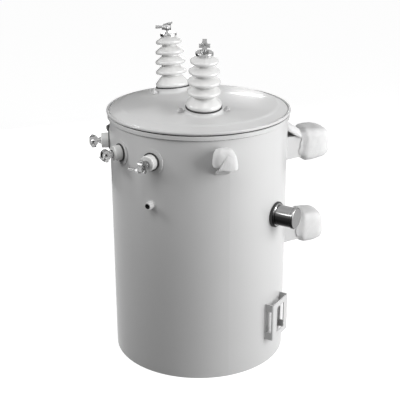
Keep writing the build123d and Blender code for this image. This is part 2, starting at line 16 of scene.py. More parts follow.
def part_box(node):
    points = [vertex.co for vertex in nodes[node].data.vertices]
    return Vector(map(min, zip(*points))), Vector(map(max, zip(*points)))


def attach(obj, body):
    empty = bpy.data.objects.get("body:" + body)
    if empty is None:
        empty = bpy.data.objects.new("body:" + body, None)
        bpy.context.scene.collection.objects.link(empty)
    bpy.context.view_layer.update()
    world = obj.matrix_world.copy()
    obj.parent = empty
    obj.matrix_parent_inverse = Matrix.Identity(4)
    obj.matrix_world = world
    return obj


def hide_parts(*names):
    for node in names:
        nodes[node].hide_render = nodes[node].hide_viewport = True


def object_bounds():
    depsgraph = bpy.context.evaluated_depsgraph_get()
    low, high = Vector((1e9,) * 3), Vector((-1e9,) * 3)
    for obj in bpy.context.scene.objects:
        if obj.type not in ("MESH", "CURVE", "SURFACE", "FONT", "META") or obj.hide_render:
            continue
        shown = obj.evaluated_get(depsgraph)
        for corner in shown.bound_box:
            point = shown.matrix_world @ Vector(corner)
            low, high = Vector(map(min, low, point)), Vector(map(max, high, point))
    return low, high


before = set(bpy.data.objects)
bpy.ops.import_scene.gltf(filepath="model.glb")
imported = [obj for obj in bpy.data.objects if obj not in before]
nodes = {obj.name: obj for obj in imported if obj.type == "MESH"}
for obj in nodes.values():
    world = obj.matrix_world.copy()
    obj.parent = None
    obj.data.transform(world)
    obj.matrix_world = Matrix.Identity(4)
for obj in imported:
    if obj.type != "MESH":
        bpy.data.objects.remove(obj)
cad_low, cad_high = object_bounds()
print("nodes", len(nodes), "height", round(cad_high.z - cad_low.z, 3))

# %% [markdown]
# ## Camera
# The camera stands a little above the cover, ten tank radii away, with a long lens, so the
# tank's sides stay almost parallel. It looks from the side that shows the low voltage row on
# the left and the pole lugs on the right.

# %% Camera
WALL_THICKNESS = 0.0033     # the bottom plate lies inside the wall
plate_low, plate_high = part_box("tank_bottom")
tank_radius = (plate_high[0] - plate_low[0]) / 2 + WALL_THICKNESS
CAMERA_BEARING = 71.0       # degrees round the tank, from the front towards +X
CAMERA_DISTANCE = 10.104    # in tank radii, level
CAMERA_HEIGHT = 5.610
CAMERA_PITCH = 20.8
CAMERA_YAW = -0.07
CAMERA_ROLL = -0.17
CAMERA_LENS = 83.71         # millimetres, on a sensor 36 mm wide

bearing = math.radians(CAMERA_BEARING)
camera_data = bpy.data.cameras.new("camera")
camera_data.lens = CAMERA_LENS
camera_data.sensor_width = 36.0
camera = bpy.data.objects.new("camera", camera_data)
bpy.context.scene.collection.objects.link(camera)
camera.location = (CAMERA_DISTANCE * tank_radius * math.sin(bearing),
                   -CAMERA_DISTANCE * tank_radius * math.cos(bearing),
                   CAMERA_HEIGHT * tank_radius)
turn = (Matrix.Rotation(math.radians(CAMERA_BEARING + CAMERA_YAW), 3, "Z")
        @ Matrix.Rotation(math.radians(90 - CAMERA_PITCH), 3, "X")
        @ Matrix.Rotation(math.radians(CAMERA_ROLL), 3, "Z"))
camera.rotation_euler = turn.to_euler()
bpy.context.scene.camera = camera
print("camera at", [round(v, 3) for v in camera.location])

# %% [markdown]
# ## Studio
# The tank is pale on the right and falls off smoothly to a darker left. One lamp at the right
# would do that, but with a harder step where its light ends. So two large soft boxes overlap
# at the right, and two weak ones at the left, one of them near, keep the upper left from going
# dark. A box overhead lights the cover, and a fill on the far side serves whoever walks round.
# The last lamp is long and thin and stands behind the tank, a little above its cover: all it
# does is draw the long bright highlight on the cover, as a window would.


# %% Lamps
def area_light(name, size, power, place, aim=(0, 0, 0.4)):
    """A soft box: a rectangle of the given size that shines from its place at a point."""
    data = bpy.data.lights.new(name, "AREA")
    data.shape = "RECTANGLE"
    data.size, data.size_y = size
    data.energy = power
    lamp = bpy.data.objects.new(name, data)
    lamp.location = place
    away = Vector(place) - Vector(aim)
    lamp.rotation_euler = away.to_track_quat("Z", "Y").to_euler()
    lamp.visible_camera = False
    bpy.context.scene.collection.objects.link(lamp)
    return lamp


def around(angle, distance, height):
    """Place at an angle seen from the camera: 0 is towards it, 90 is to its right."""
    a = bearing + math.radians(angle)
    return (distance * math.sin(a), -distance * math.cos(a), height)


lamps = [
    area_light("right soft box", (1.6, 2.2), 27, around(76, 2.3, 0.9)),
    area_light("right front box", (1.0, 2.0), 40, around(60, 2.3, 1.2), aim=(0, 0, 0.4)),
    area_light("left near box", (0.4, 0.5), 2.8, around(-45, 0.85, 1.25), aim=(0, 0, 0.66)),
    area_light("left strip", (0.3, 0.8), 16, around(-85, 1.6, 1.4), aim=(0, 0, 0.7)),
    area_light("top box", (1.0, 1.0), 6.5, around(20, 0.9, 2.5), aim=(0, 0, 0.75)),
    area_light("far fill", (1.4, 1.2), 30, around(-160, 2.4, 0.6), aim=(0, 0, 0.45)),
    area_light("cover streak", (0.20, 0.02), 0.9, around(171, 2.0, 1.06), aim=(0, 0, 0.75)),
]
print("lamps", [lamp.name for lamp in lamps])

# %% [markdown]
# The room itself is the world: a dim, even grey that fills the shadows. Rays straight from the
# camera, and the ones that mirrors and glass send on, see it as white, so the background is
# white and costs no light. Brighter lamps could bleach a backdrop too, but they would bleach
# the tank with it.


# %% The room
def math_node(tree, operation, first, second, clamp=False):
    """One step of arithmetic. Each operand is a number or another node's output."""
    node = tree.nodes.new("ShaderNodeMath")
    node.operation = operation
    node.use_clamp = clamp
    for slot, operand in enumerate((first, second)):
        if isinstance(operand, (int, float)):
            node.inputs[slot].default_value = operand
        else:
            tree.links.new(operand, node.inputs[slot])
    return node.outputs[0]


def seen_or_mirrored(tree):
    """One on rays from the camera and on the ones that mirrors and glass send on, else zero:
    the sum of three Light Path outputs, held at one."""
    path = tree.nodes.new("ShaderNodeLightPath")
    total = path.outputs["Is Camera Ray"]
    for kind in ("Is Glossy Ray", "Is Transmission Ray"):
        total = math_node(tree, "ADD", total, path.outputs[kind], clamp=True)
    return total


scene = bpy.context.scene
scene.view_settings.view_transform = "Standard"
world = bpy.data.worlds.new("studio")
world.use_nodes = True
scene.world = world
tree = world.node_tree
room = tree.nodes["Background"]
room.inputs["Color"].default_value = (0.80, 0.80, 0.80, 1)
room.inputs["Strength"].default_value = 0.12
white = tree.nodes.new("ShaderNodeBackground")
white.inputs["Color"].default_value = (1, 1, 1, 1)
pick = tree.nodes.new("ShaderNodeMixShader")
tree.links.new(seen_or_mirrored(tree), pick.inputs["Fac"])
tree.links.new(room.outputs["Background"], pick.inputs[1])
tree.links.new(white.outputs["Background"], pick.inputs[2])
tree.links.new(pick.outputs["Shader"], tree.nodes["World Output"].inputs["Surface"])
print("world nodes", len(tree.nodes))

# %% [markdown]
# The floor is a real surface, because it takes the tank's soft shadow. It is a round sheet of
# rings that grow wider outwards. It is also the first of many surfaces made as a grid of
# points, so the helper that turns a grid into a mesh comes here. Whole arrays go into the mesh
# at once, which is much faster than adding points one by one.


# %% The floor
def grid_mesh(name, points, closed_u=False, closed_v=False):
    """Mesh of a grid of points with shape (rows, columns, 3). Each cell of the grid is one
    four-sided face; a closed direction joins its last line of points back to the first."""
    rows, columns = points.shape[:2]
    number = np.arange(rows * columns).reshape(rows, columns)
    if closed_v:
        number = np.vstack([number, number[:1]])
    if closed_u:
        number = np.hstack([number, number[:, :1]])
    faces = np.stack([number[:-1, :-1], number[:-1, 1:], number[1:, 1:], number[1:, :-1]],
                     axis=-1).reshape(-1, 4)
    mesh = bpy.data.meshes.new(name)
    mesh.vertices.add(rows * columns)
    mesh.vertices.foreach_set("co", points.reshape(-1).astype(np.float32))
    mesh.loops.add(faces.size)
    mesh.loops.foreach_set("vertex_index", faces.reshape(-1).astype(np.int32))
    mesh.polygons.add(len(faces))
    mesh.polygons.foreach_set("loop_start", np.arange(0, faces.size, 4, dtype=np.int32))
    mesh.polygons.foreach_set("use_smooth", np.ones(len(faces), dtype=bool))
    mesh.update(calc_edges=True)
    mesh.validate()
    piece = bpy.data.objects.new(name, mesh)
    bpy.context.scene.collection.objects.link(piece)
    return piece


FLOOR_GAP = 0.0006          # under the tank, so that the two don't share a plane
floor_turn = np.linspace(0, 2 * np.pi, 96, endpoint=False)
floor_reach = np.array([0.0001, 0.5, 1.0, 2.0, 4.0, 9.0])
floor_points = np.stack([np.outer(floor_reach, np.cos(floor_turn)),
                         np.outer(floor_reach, np.sin(floor_turn)),
                         np.full((len(floor_reach), len(floor_turn)), cad_low.z - FLOOR_GAP)],
                        axis=-1)
floor = grid_mesh("floor", floor_points, closed_u=True)
print("floor", len(floor.data.polygons), "faces")

# %% [markdown]
# On a white set a pale tank loses its edges. The cure is black cards that stand just out of
# view: the sides of the tank mirror them and get a crisper, darker outline, and they keep
# stray light off the shadow side. These two are hidden from the camera, because other views
# would show them. Lines drawn in the paint would be no cure, since they would stay where they
# are when the tank is seen from another side.


# %% Black cards
def card(name, start, end, distance, low, high):
    """Part of an upright tube round the tank, between two angles seen from the camera."""
    sweep = bearing + np.radians(np.linspace(start, end, 24))
    flat = np.stack([distance * np.sin(sweep), -distance * np.cos(sweep)], axis=-1)
    rows = [np.column_stack([flat, np.full(len(sweep), z)]) for z in (low, high)]
    piece = grid_mesh(name, np.stack(rows))
    piece.visible_camera = False
    return piece


CARD_TALL = 1.3
cards = [card("left card", -172, -82, 1.5, 0.0, CARD_TALL),
         card("right card", 128, 150, 1.7, 0.0, CARD_TALL)]
print("cards", [piece.name for piece in cards])

# %% [markdown]
# ## Building blocks for the finishes
# Real coatings are never one flat tone. Three effects are used by more than one finish: a slow
# drift of tone, a fine ripple of the surface, and dust that settles on faces that look up. The
# nodes could be repeated in every material, but as groups they are built once and each finish
# gives them its own numbers. A group puts out a mask or a height, and the material decides
# what that does.


# %% Node helpers
def new_group(name, inputs, output):
    """Shader node group with number inputs given as {name: value} and one number output."""
    group = bpy.data.node_groups.new(name, "ShaderNodeTree")
    for label, value in inputs.items():
        socket = group.interface.new_socket(label, in_out="INPUT", socket_type="NodeSocketFloat")
        socket.default_value = value
    group.interface.new_socket(output, in_out="OUTPUT", socket_type="NodeSocketFloat")
    return group, group.nodes.new("NodeGroupInput"), group.nodes.new("NodeGroupOutput")


def noise_node(tree, place, scale, detail, rough=0.5):
    """Noise from 0 to 1 that rises and falls about scale times in a metre."""
    node = tree.nodes.new("ShaderNodeTexNoise")
    node.inputs["Detail"].default_value = detail
    node.inputs["Roughness"].default_value = rough
    tree.links.new(place, node.inputs["Vector"])
    if isinstance(scale, (int, float)):
        node.inputs["Scale"].default_value = scale
    else:
        tree.links.new(scale, node.inputs["Scale"])
    return node.outputs["Fac"]


# %% Tone drift, ripple and dust
tone_drift, start, end = new_group("tone drift", {"Scale": 6.0, "Amount": 0.1}, "Factor")
place = tone_drift.nodes.new("ShaderNodeTexCoord").outputs["Object"]
wave = noise_node(tone_drift, place, start.outputs["Scale"], 3.0)
swing = math_node(tone_drift, "MULTIPLY", math_node(tone_drift, "SUBTRACT", wave, 0.5),
                  start.outputs["Amount"])
tone_drift.links.new(math_node(tone_drift, "ADD", swing, 1.0), end.inputs["Factor"])

ripple, start, end = new_group("fine ripple", {"Scale": 400.0, "Depth": 1.0}, "Height")
place = ripple.nodes.new("ShaderNodeTexCoord").outputs["Object"]
wave = noise_node(ripple, place, start.outputs["Scale"], 2.0)
ripple.links.new(math_node(ripple, "MULTIPLY", wave, start.outputs["Depth"]),
                 end.inputs["Height"])

dust, start, end = new_group("settled dust", {"Scale": 60.0, "Amount": 0.3}, "Mask")
place = dust.nodes.new("ShaderNodeTexCoord").outputs["Object"]
facing = dust.nodes.new("ShaderNodeSeparateXYZ")
dust.links.new(dust.nodes.new("ShaderNodeNewGeometry").outputs["Normal"], facing.inputs[0])
level = math_node(dust, "MULTIPLY", facing.outputs["Z"], start.outputs["Amount"], clamp=True)
speck = noise_node(dust, place, start.outputs["Scale"], 6.0, 0.65)
dust.links.new(math_node(dust, "MULTIPLY", level, speck, clamp=True), end.inputs["Mask"])
print("groups", [group.name for group in bpy.data.node_groups])


# %% [markdown]
# ## Finishes
# A finish starts as a Principled shader with its constant values set on its own sockets. The
# groups then vary its colour and roughness a little and give it a fine relief.


# %% One builder for every finish
DUST = (0.72, 0.71, 0.69, 1)


def finish(name, color, rough, metallic=0.0, drift=(6.0, 0.06), relief=(400.0, 0.00002),
           dusty=0.0, **constants):
    """Material whose colour is color times the drift, with dust mixed over it. Its roughness
    is rough times the same drift, and its relief is the ripple, in metres."""
    material = bpy.data.materials.new(name)
    material.use_nodes = True
    tree = material.node_tree
    shader = tree.nodes["Principled BSDF"]
    shader.inputs["Metallic"].default_value = metallic
    for label, value in constants.items():
        shader.inputs[label.replace("_", " ")].default_value = value

    def place_group(group, **values):
        node = tree.nodes.new("ShaderNodeGroup")
        node.node_tree = group
        for label, value in values.items():
            node.inputs[label].default_value = value
        return node.outputs[0]

    vary = place_group(tone_drift, Scale=drift[0], Amount=drift[1])
    tint = tree.nodes.new("ShaderNodeMix")
    tint.data_type = "RGBA"
    tint.blend_type = "MULTIPLY"
    tint.inputs["Factor"].default_value = 1.0
    tint.inputs["A"].default_value = (*color, 1)
    tree.links.new(vary, tint.inputs["B"])
    tone = tint.outputs["Result"]
    if dusty:
        film = tree.nodes.new("ShaderNodeMix")
        film.data_type = "RGBA"
        tree.links.new(place_group(dust, Amount=dusty), film.inputs["Factor"])
        tree.links.new(tone, film.inputs["A"])
        film.inputs["B"].default_value = DUST
        tone = film.outputs["Result"]
    tree.links.new(tone, shader.inputs["Base Color"])
    tree.links.new(math_node(tree, "MULTIPLY", vary, rough), shader.inputs["Roughness"])
    bump = tree.nodes.new("ShaderNodeBump")
    bump.inputs["Distance"].default_value = 1.0
    tree.links.new(place_group(ripple, Scale=relief[0], Depth=relief[1]),
                   bump.inputs["Height"])
    tree.links.new(bump.outputs["Normal"], shader.inputs["Normal"])
    return material


# %% [markdown]
# The tank has a light grey gloss enamel with the faint orange peel of a sprayed coat. The
# bushings are glazed: almost as pale, smoother, and a little uneven where the glaze ran.

# %% Paint and porcelain
paint = finish("light grey enamel", (0.60, 0.60, 0.60), 0.34, drift=(5.0, 0.06),
               relief=(330.0, 0.00003), dusty=0.10, Specular_IOR_Level=0.3,
               Coat_Weight=0.22, Coat_Roughness=0.07)
porcelain = finish("grey glazed porcelain", (0.72, 0.72, 0.715), 0.20, drift=(28.0, 0.12),
                   relief=(120.0, 0.00012), dusty=0.25, Coat_Weight=0.5,
                   Coat_Roughness=0.06)
print("coatings", paint.name, "and", porcelain.name)

# %% [markdown]
# Gaskets are black rubber, and the same black serves as painted shade in the pipe and under
# the band. The clamps and caps are tinned: bright, and soft in their reflections. The tap
# changer's cap is polished, and the next step paints its reflections. The ground lug is bare
# steel that has gone dark. The foam is a white, slightly see-through sheet.

# %% Rubber, metals and foam
rubber = finish("black gasket rubber", (0.018, 0.018, 0.018), 0.55, drift=(40.0, 0.3),
                relief=(600.0, 0.00006))
tinned = finish("tinned metal", (0.36, 0.36, 0.36), 0.24, metallic=1.0, drift=(210.0, 1.2),
                relief=(300.0, 0.00045))
# White here: the cap's dark underside and bright line are painted reflections, set by the ramp in
# the cap's step.
chrome = finish("polished metal with painted reflections", (1.0, 1.0, 1.0), 0.15, metallic=1.0,
                drift=(50.0, 0.15), relief=(60.0, 0.00002))
foam = finish("white packing foam", (0.70, 0.70, 0.70), 0.8, drift=(45.0, 0.10),
              relief=(380.0, 0.0006), Subsurface_Weight=0.3, Subsurface_Scale=0.012,
              Subsurface_Radius=(1.0, 1.0, 1.0), Sheen_Weight=0.2)
steel = finish("dark bare steel", (0.13, 0.13, 0.13), 0.42, metallic=0.6, drift=(90.0, 0.5),
               relief=(300.0, 0.00012))
print("materials", len(bpy.data.materials))

# %% [markdown]
# The pieces of the frame are told apart by their names, and whatever isn't listed is painted.

# %% Finishes of the frame's pieces
finishes = {"gasket": rubber, "ground_lug": steel, "porcelain": porcelain,
            "tap_flange": chrome, "tap_cap": chrome, "hv_cap": tinned,
            "hv_terminal": tinned, "lv_terminal": tinned, "foam": foam}
for name, node in nodes.items():
    fits = [material for label, material in finishes.items() if label in name]
    node.data.materials.clear()
    node.data.materials.append(fits[0] if fits else paint)
print("painted", sum(node.data.materials[0] == paint for node in nodes.values()), "pieces")

# %% [markdown]
# A polished cap is only as bright as what stands round it, and in a plain, pale scene it comes
# out pale all over. The real one is dark below, with one bright line along its shoulder. That
# could come from more cards and strip lamps, but they would change the light on the enamel.
# So the tones are painted: a colour ramp goes by how far up a face looks, whichever way it is
# seen from. This is a stand-in for reflections and not a colour that the metal has. The round
# end keeps one tone.

# %% Tones of the cap
TAP_ANGLE = 129.4           # degrees round the tank, from the front towards +X
CAP_TONES = ((0.42, 0.008), (0.60, 0.025), (0.74, 0.15), (0.775, 0.70), (0.81, 0.32),
             (0.98, 0.34))  # (how far up a face looks, 0 down to 1 up; tone)
END_TONE = 0.24
END_FROM, END_RISE = 0.75, 5.0      # where the end begins, and how sharply

tree = chrome.node_tree
facing = tree.nodes.new("ShaderNodeNewGeometry").outputs["Normal"]
parts = tree.nodes.new("ShaderNodeSeparateXYZ")
tree.links.new(facing, parts.inputs[0])
ramp = tree.nodes.new("ShaderNodeValToRGB")
stops = ramp.color_ramp.elements
stops[0].position, stops[1].position = CAP_TONES[0][0], CAP_TONES[-1][0]
for position, _ in CAP_TONES[1:-1]:
    stops.new(position)
for stop, (_, tone) in zip(stops, CAP_TONES):
    stop.color = (tone, tone, tone, 1)
upward = math_node(tree, "MULTIPLY_ADD", parts.outputs["Z"], 0.5)
upward.node.inputs[2].default_value = 0.5
tree.links.new(upward, ramp.inputs["Fac"])
end_on = tree.nodes.new("ShaderNodeVectorMath")
end_on.operation = "DOT_PRODUCT"
tree.links.new(facing, end_on.inputs[0])
cap_turn = math.radians(TAP_ANGLE)
end_on.inputs[1].default_value = (math.sin(cap_turn), -math.cos(cap_turn), 0.0)
past = math_node(tree, "SUBTRACT", end_on.outputs["Value"], END_FROM)
flat_end = math_node(tree, "MULTIPLY", past, END_RISE, clamp=True)
banded = tree.nodes.new("ShaderNodeMix")
banded.data_type = "RGBA"
tree.links.new(flat_end, banded.inputs["Factor"])
tree.links.new(ramp.outputs["Color"], banded.inputs["A"])
banded.inputs["B"].default_value = (END_TONE, END_TONE, END_TONE, 1)
tint = next(node for node in tree.nodes if node.type == "MIX" and node.blend_type == "MULTIPLY")
tree.links.new(banded.outputs["Result"], tint.inputs["A"])
print("tone stops", len(stops))

# %% [markdown]
# The floor and the cards belong to the set. The floor is dull, and it glows only towards the
# camera and into mirrors, as the room does. Its own colour is a darker grey: a white floor
# would throw a lot of light up under the tank.

# %% The floor's finish
FLOOR_TONE = 0.27
FLOOR_GLOW = 0.95

ground = bpy.data.materials.new("pale floor")
ground.use_nodes = True
tree = ground.node_tree
plain = tree.nodes["Principled BSDF"]
plain.inputs["Base Color"].default_value = (FLOOR_TONE, FLOOR_TONE, FLOOR_TONE, 1)
plain.inputs["Roughness"].default_value = 0.9
plain.inputs["Specular IOR Level"].default_value = 0.0
glow = tree.nodes.new("ShaderNodeEmission")
tree.links.new(math_node(tree, "MULTIPLY", seen_or_mirrored(tree), FLOOR_GLOW),
               glow.inputs["Strength"])
both = tree.nodes.new("ShaderNodeAddShader")
tree.links.new(plain.outputs["BSDF"], both.inputs[0])
tree.links.new(glow.outputs["Emission"], both.inputs[1])
tree.links.new(both.outputs["Shader"], tree.nodes["Material Output"].inputs["Surface"])
floor.data.materials.append(ground)
print("floor glows at", FLOOR_GLOW)

# %% The cards' finish
black = bpy.data.materials.new("black card")
black.use_nodes = True
matt = black.node_tree.nodes["Principled BSDF"]
matt.inputs["Base Color"].default_value = (0.03, 0.03, 0.03, 1)
matt.inputs["Roughness"].default_value = 1.0
for piece in cards:
    piece.data.materials.append(black)
print("black cards", len(cards))

# %% [markdown]
# ## Foam wraps
# The lugs travel in soft foam so that they don't scratch the next unit. A wrap is a thick
# sheet pulled round the lug, full and lumpy, with an open back. A cloth simulation could drape
# a thin sheet, but this one is thick and stiff and has no folds, so its shape is worked out.
# It is one closed surface: an outer skin from the rim to the crown, a rolled rim, and an inner
# skin that clears the steel. Its cross section is a superellipse, which runs smoothly from an
# oval to a box.

# %% Directions round the tank
UP = np.array([0.0, 0.0, 1.0])
LIFTING_ANGLES = {"right": 85.0, "left": -85.0}
LV_ANGLES = (-13.75, 13.75, 41.25)
GROUND_ANGLE = -41.25
PIPE_ANGLE = 40.6
BRACKET_ANGLE = 130.2
POLE_ANGLE = 180


def outward(angle):
    """Direction from the tank's axis at an angle in degrees, counted from -Y towards +X."""
    a = math.radians(angle)
    return np.array([math.sin(a), -math.cos(a), 0.0])


def sideways(angle):
    """Level direction along the wall at an angle, towards greater angles."""
    a = math.radians(angle)
    return np.array([math.cos(a), math.sin(a), 0.0])


print("lifting lugs face", [outward(angle).round(2).tolist() for angle in LIFTING_ANGLES.values()])


# %% Bumps and rounded boxes
AVERAGING = 2.2


def lumps(points, size, seed, waves=9):
    """Smooth bumps, mostly between -1 and 1: the mean of sine waves in chance directions, each
    about size long from crest to crest, times a factor that makes up for averaging."""
    chance = np.random.default_rng(seed)
    aim = chance.normal(size=(waves, 3))
    aim /= np.linalg.norm(aim, axis=1, keepdims=True)
    turns = 2 * np.pi / size * chance.uniform(0.6, 1.6, waves)
    phase = chance.uniform(0, 2 * np.pi, waves)
    return np.sin(points @ (aim * turns[:, None]).T + phase).mean(-1) * AVERAGING


def superellipse(angle, power):
    """Point on the curve where |x| and |y|, each raised to a power, add up to one."""
    c, s = np.cos(angle), np.sin(angle)
    grow = (np.abs(c) ** power + np.abs(s) ** power) ** (-1 / power)
    return c * grow, s * grow


def close_poles(piece):
    """Merges points that lie on each other and turns the faces outwards."""
    shape = bmesh.new()
    shape.from_mesh(piece.data)
    bmesh.ops.remove_doubles(shape, verts=shape.verts, dist=1e-7)
    bmesh.ops.recalc_face_normals(shape, faces=shape.faces)
    shape.to_mesh(piece.data)
    shape.free()


def hand_over(piece, material):
    """Gives a new piece its material, and tells the frame its body."""
    piece.data.materials.append(material)
    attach(piece, "root")
    return piece


corner = superellipse(math.pi / 4, 4.0)
print("corner of a rounded box", [round(float(part), 3) for part in corner])


# %% A lumpy pocket
BIG_BUMP, SMALL_BUMP = (0.07, 0.0016), (0.025, 0.0006)      # (length, height)
RIM_SHARE = 0.2                 # the wall at the rim, of its full thickness
RAGGED_SHARE = 0.45             # how far up the rim's raggedness reaches, of the length


def foam_pocket(name, back, along, across, up, outer, inner, powers, length, depth,
                ragged, seed, lip=0.001, slant=0.0):
    """Closed pocket whose axis runs from the point back in the direction along. The outer
    skin's half widths are outer, the inner skin's are inner, and powers are their
    superellipse powers and that of the crown. From the rim, the outer skin reaches length
    along the axis and the inner one depth. Between them the rim rolls over in half a circle.
    The wall swells from a share of its thickness at the rim to all of it at lip. Bumps push
    the outer skin. Ragged and slant move the rim along the axis: ragged by chance, and slant
    more on one side."""
    around_it = np.linspace(0, 2 * np.pi, 120, endpoint=False)
    lift = np.linspace(0, np.pi / 2, 34)
    crown_side, crown_up = superellipse(lift, powers[2])
    roll = np.linspace(0, np.pi, 9)[1:-1]
    # inner skin from its pole to the rim, the roll, then the outer skin up to its pole
    share = np.concatenate([crown_side[::-1], np.ones(len(roll)), crown_side])
    skin = np.concatenate([np.zeros(len(lift)), (1 - np.cos(roll)) / 2, np.ones(len(lift))])
    wall = min(outer[0] - inner[0], outer[1] - inner[1])
    rise = np.concatenate([crown_up[::-1] * depth, -np.sin(roll) * wall * 0.1,
                           crown_up * length])
    gone = np.clip(rise / lip, 0, 1)
    swell = skin * (RIM_SHARE + (1 - RIM_SHARE) * gone * gone * (3 - 2 * gone))
    wide = inner[0] + (outer[0] - inner[0]) * swell
    tall = inner[1] + (outer[1] - inner[1]) * swell
    outside = superellipse(around_it, powers[0])
    inside = superellipse(around_it, powers[1])
    x = (inside[0] * (1 - skin[:, None]) + outside[0] * skin[:, None]) * (wide * share)[:, None]
    y = (inside[1] * (1 - skin[:, None]) + outside[1] * skin[:, None]) * (tall * share)[:, None]
    frame_axes = np.stack([across, up, along])
    raw = np.stack([x, y, np.broadcast_to(rise[:, None], x.shape)], axis=-1)
    bumps = (lumps(raw, BIG_BUMP[0], seed) * BIG_BUMP[1]
             + lumps(raw, SMALL_BUMP[0], seed + 1) * SMALL_BUMP[1])
    from_heart = raw - [0, 0, length * 0.4]
    reach = np.linalg.norm(from_heart, axis=-1, keepdims=True)
    raw = raw + from_heart / reach * (bumps * skin[:, None])[..., None]
    near_rim = np.clip(1 - np.abs(rise) / (RAGGED_SHARE * length), 0, 1)[:, None]
    fray = lumps(np.stack([np.cos(around_it), np.sin(around_it), 0 * around_it], -1),
                 0.9, seed + 2)
    raw[..., 2] += near_rim * (fray * ragged + slant * x / outer[0])
    piece = grid_mesh(name, np.asarray(back) + raw @ frame_axes, closed_u=True)
    close_poles(piece)
    hand_over(piece, foam)
    return piece


# %% [markdown]
# The hoods on the lifting lugs hang from the strap's top, so their axis points up and their
# open end is below. The wraps on the pole lugs are pulled on from the pole's side, so their
# axis points away from the tank.

# %% Hoods on the lifting lugs
HOOD_OUT = 0.0242               # the hood's axis, from the wall
HOOD_SHIFT = 0.0015             # the hood sits this much off the lug's middle
HOOD_DROP = 0.001               # its rim, under the foam of the frame
HOOD_EXTRA = 0.004              # its height, more than that foam's
HOOD_WIDE, HOOD_DEEP = 0.0298, 0.0228       # half widths along the wall and away from it
HOOD_POWER, CROWN_POWER = 3.6, 3.4
HOOD_SEEDS = {"right": 11, "left": 17}
STRAP_CLEARANCE = 0.0032

for side, angle in LIFTING_ANGLES.items():
    name = f"lifting_foam_{side}"
    low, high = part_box(name)
    strap_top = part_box(f"lifting_lug_{side}")[1].z
    shift = -HOOD_SHIFT * sideways(angle) * np.sign(angle)
    middle = outward(angle) * (tank_radius + HOOD_OUT) + UP * (low.z - HOOD_DROP) + shift
    hood = foam_pocket(f"foam_hood_{side}", middle, UP, sideways(angle), outward(angle),
                       outer=(HOOD_WIDE, HOOD_DEEP), inner=(0.0210, 0.0160),
                       powers=(HOOD_POWER, 9.0, CROWN_POWER),
                       length=high.z - low.z + HOOD_EXTRA,
                       depth=strap_top + STRAP_CLEARANCE - low.z,
                       ragged=0.0035, seed=HOOD_SEEDS[side], lip=0.006, slant=-0.004)
    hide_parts(name)
    print(name, "hood", round(high.z - low.z + HOOD_EXTRA, 4), "tall")

# %% [markdown]
# Each hood is one sheet folded round its lug, and the sheet's last turn lies over the rest as
# a flap. The flap could be part of the hood's own mesh, but a fold there would be hard to
# control. So it is a pad of its own: a patch of the hood's outside, a little further out, that
# stands off more towards its lower edge.


# %% Flaps of the hoods
def pad_from_sheet(name, sheet, half_thick, fullness, seed):
    """Closed pad round a grid of points, sheet. Each skin lies half_thick from the sheet
    along its normal, times the root of a rounded fall to zero at the four edges."""
    rows, columns = sheet.shape[:2]
    down, across = np.gradient(sheet, axis=0), np.gradient(sheet, axis=1)
    normal = np.cross(down, across)
    normal /= np.linalg.norm(normal, axis=-1, keepdims=True)
    v, u = np.meshgrid(np.linspace(-1, 1, rows), np.linspace(-1, 1, columns), indexing="ij")
    full = ((1 - np.abs(v) ** fullness).clip(0) * (1 - np.abs(u) ** fullness).clip(0)) ** 0.5
    thick = full * half_thick * (1 + 0.2 * lumps(sheet, 0.03, seed))
    top = sheet + normal * thick[..., None]
    bottom = sheet - normal * thick[..., None]
    loop = np.concatenate([top, bottom[:, ::-1]], axis=1)
    piece = grid_mesh(name, loop, closed_u=True)
    close_poles(piece)
    hand_over(piece, foam)
    return piece


def flap_sheet(angle, foot, height):
    """Patch of the hood's outside on a grid: v runs up from the flap's lower edge and u round
    the hood from its side. The hood's half widths shrink towards its crown by the same power
    as the hood, and the patch stands off by the root of the distance from its top."""
    v, u = np.meshgrid(np.linspace(0, 1, 40), np.linspace(0, 1, 44), indexing="ij")
    rise = 0.0010 - 0.0030 * (1 - u) + v * (0.0440 - 0.003 * u)
    rise = rise + (0.0014 * np.sin(9 * u) + 0.0006 * np.sin(31 * u)) * (1 - v)
    full = (1 - (rise.clip(0) / height) ** CROWN_POWER) ** (1 / CROWN_POWER)
    x, y = superellipse(np.radians(4.0 + (78.0 + 44.0 * (1 - v) ** 0.7) * u), HOOD_POWER)
    stand = -0.0024 + 0.0056 * (1 - v) ** 0.5 - 0.0008 * (1 - u) ** 6
    centre = outward(angle) * (tank_radius + HOOD_OUT)
    level = foot + rise
    return (centre
            + sideways(angle) * np.sign(angle)
            * (x * (HOOD_WIDE * full + stand) - HOOD_SHIFT)[..., None]
            + outward(angle) * (y * (HOOD_DEEP * full + stand))[..., None]
            + UP * level[..., None])


FLAP_SEEDS = {"right": 51, "left": 57}
for side, angle in LIFTING_ANGLES.items():
    low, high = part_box(f"lifting_foam_{side}")
    flap = flap_sheet(angle, low.z - HOOD_DROP, high.z - low.z + HOOD_EXTRA)
    pad_from_sheet(f"foam_flap_{side}", flap, 0.0021, 8.0, FLAP_SEEDS[side])
    print(side, "flap", round(float(np.ptp(flap[..., 2])), 4), "tall")

# %% [markdown]
# The wraps on the pole lugs are the same kind of pocket laid on its side. Their inner skin is
# almost a box, because it clears a U of flat bar, and the wall grows thin over the last two
# centimetres towards the rim, where the sheet is stretched.

# %% Wraps on the pole lugs
TO_POLE, TO_LEFT = np.array([0.0, 1.0, 0.0]), np.array([-1.0, 0.0, 0.0])
WRAP_SWELL = 0.0025             # the outer skin, past the foam of the frame
WRAP_SHEET = 0.0085             # between that foam's top and the inner skin
WRAP_RIM = 0.001                # the rim, past the foam's end
CHEEK_CLEARANCE, FACE_CLEARANCE = 0.0012, 0.0024

